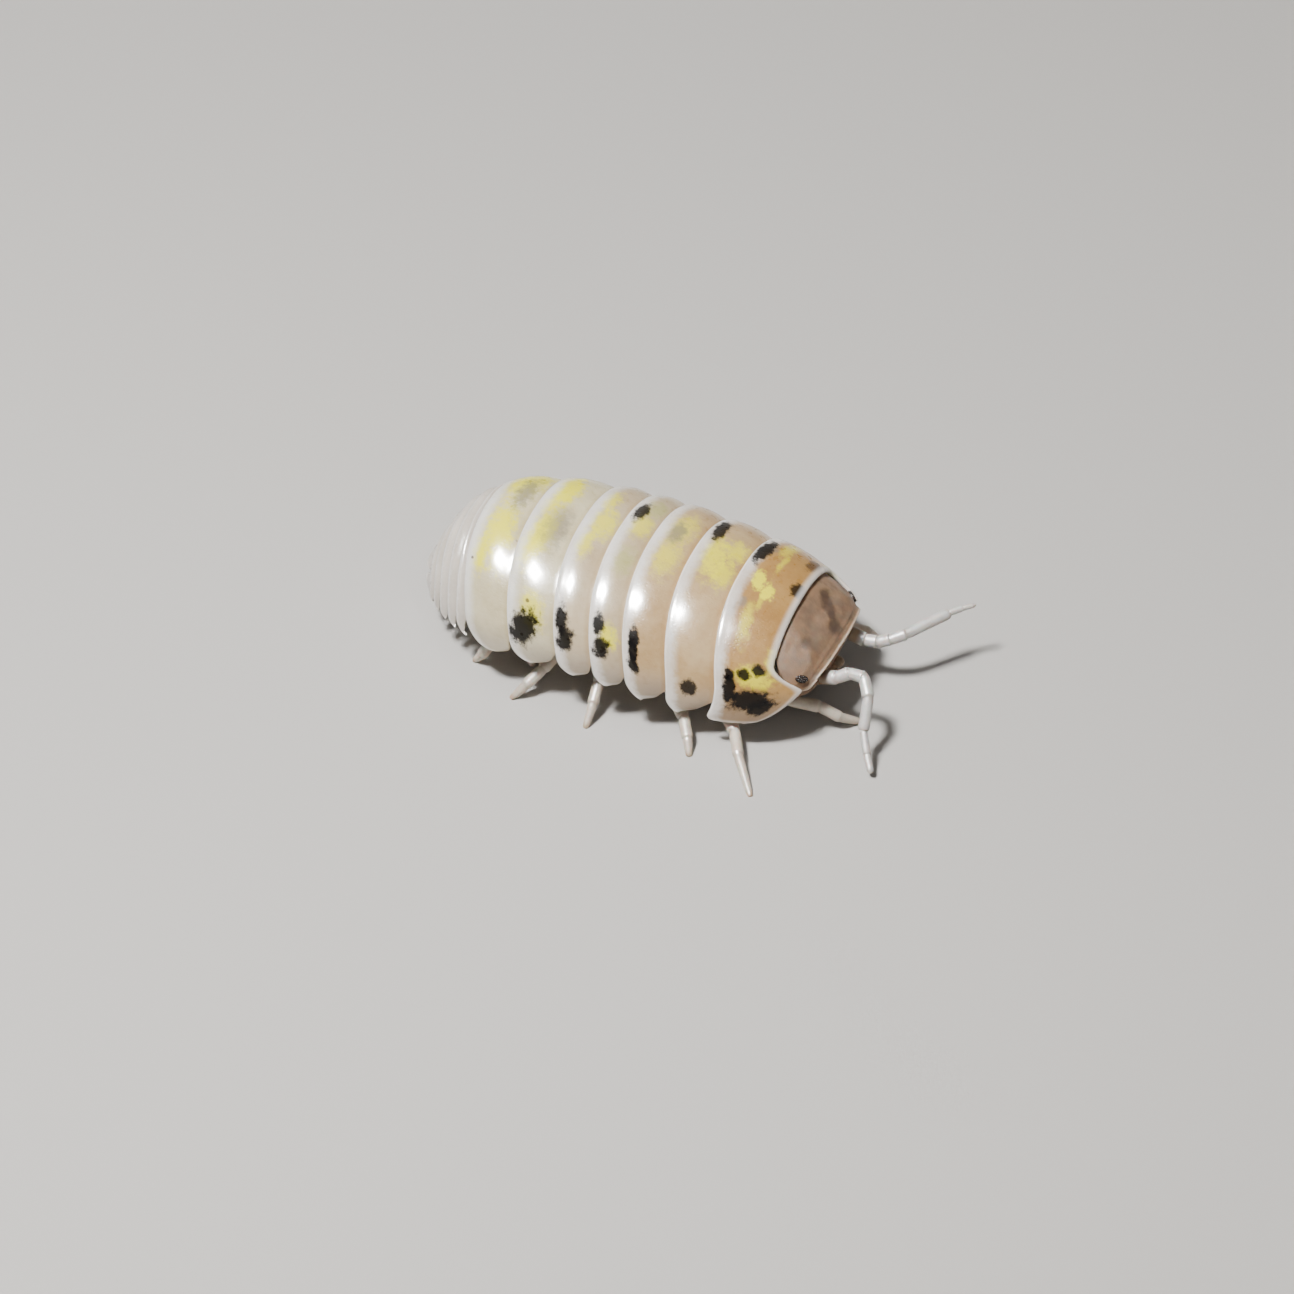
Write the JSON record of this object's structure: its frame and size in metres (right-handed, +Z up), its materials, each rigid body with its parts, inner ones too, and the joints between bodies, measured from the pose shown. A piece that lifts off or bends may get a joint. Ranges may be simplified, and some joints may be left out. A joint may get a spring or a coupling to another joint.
{
  "type": "woodlouse",
  "caption": "Life-size pill woodlouse in mid stride, with a domed back of overlapping rounded shell plates, a short fan of tail rings, jointed legs and elbowed feelers.",
  "frame": {"origin": "on the floor, at the middle of the whole animal's box seen from above", "axes": "+X towards the head, +Y towards the animal's left, +Z up from the floor"},
  "size_m": [0.0206, 0.0122, 0.0055],
  "materials": {
    "shell_plate": "glossy, slightly translucent, milky tan with yellow and black spots",
    "tail_plate": "glossy, slightly translucent, greyish white",
    "head": "satin, brownish tan",
    "limb": "satin, bluish white",
    "gill_plate": "satin, white",
    "eye": "glossy black, faceted"
  },
  "bodies": {
    "root": {"head": "head", "mouthparts": "head", "eye_right": "eye", "eye_left": "eye", "antenna_right_stem": "limb", "antenna_right_whip": "limb", "antenna_left_stem": "limb", "antenna_left_whip": "limb", "pereonite_1": "shell_plate", "pereonite_2": "shell_plate", "pereonite_3": "shell_plate", "pereonite_4": "shell_plate", "pereonite_5": "shell_plate", "pereonite_6": "shell_plate", "pereonite_7": "shell_plate", "pleonite_1": "tail_plate", "pleonite_2": "tail_plate", "pleonite_3": "tail_plate", "pleonite_4": "tail_plate", "pleonite_5": "tail_plate", "telson": "tail_plate", "uropod_right": "tail_plate", "uropod_left": "tail_plate", "pleopods": "gill_plate", "leg_1_right": "limb", "leg_1_left": "limb", "leg_2_right": "limb", "leg_2_left": "limb", "leg_3_right": "limb", "leg_3_left": "limb", "leg_4_right": "limb", "leg_4_left": "limb", "leg_5_right": "limb", "leg_5_left": "limb", "leg_6_right": "limb", "leg_6_left": "limb", "leg_7_right": "limb", "leg_7_left": "limb"}
  },
  "joints": []
}
